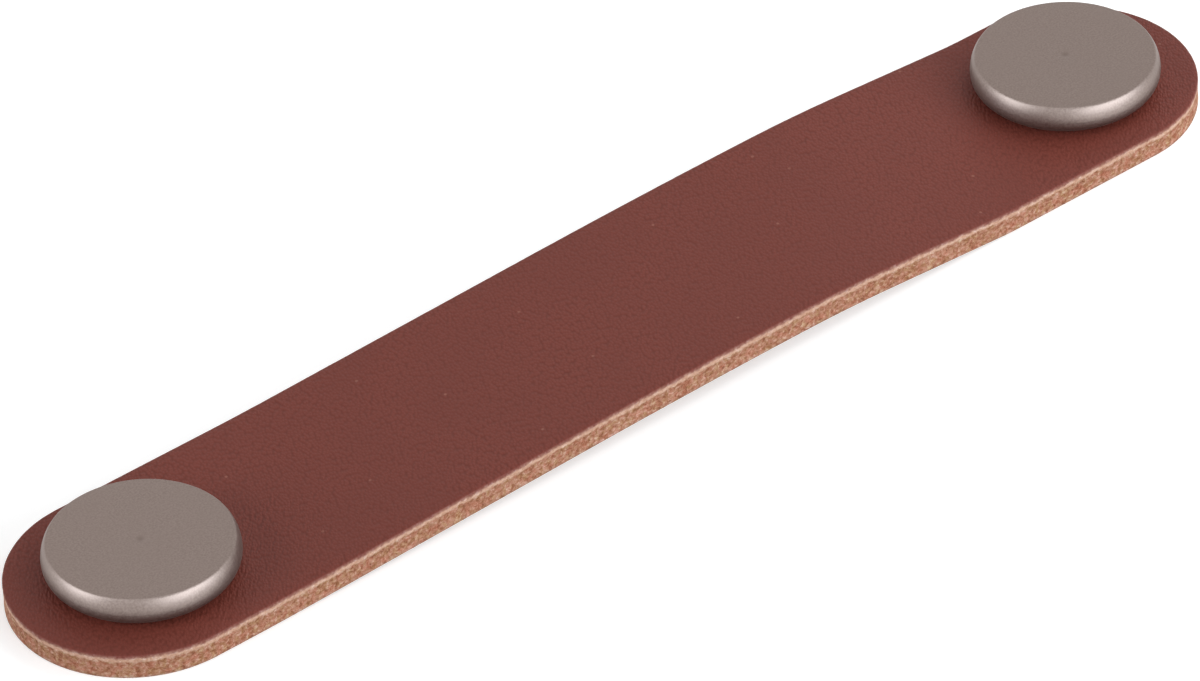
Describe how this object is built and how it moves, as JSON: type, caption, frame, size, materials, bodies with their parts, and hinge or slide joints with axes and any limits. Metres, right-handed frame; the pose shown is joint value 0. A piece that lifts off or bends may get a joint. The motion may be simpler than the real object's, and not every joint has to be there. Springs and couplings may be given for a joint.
{
  "type": "leather strap handle",
  "caption": "Flat leather strap handle for a drawer or cabinet door, with rounded ends, a low arch and a round metal head over each screw.",
  "frame": {"origin": "on the mounting face, midway between the two screws", "axes": "+X along the strap, +Z away from the furniture front that the handle is screwed to"},
  "size_m": [0.158, 0.028, 0.0068],
  "materials": {
    "leather": "matt reddish brown grain side with a raw tan cut edge",
    "metal": "satin, fine blasted grey-brown metal"
  },
  "bodies": {
    "root": {"leather_strap": "leather", "left_head": "metal", "right_head": "metal"}
  },
  "joints": []
}
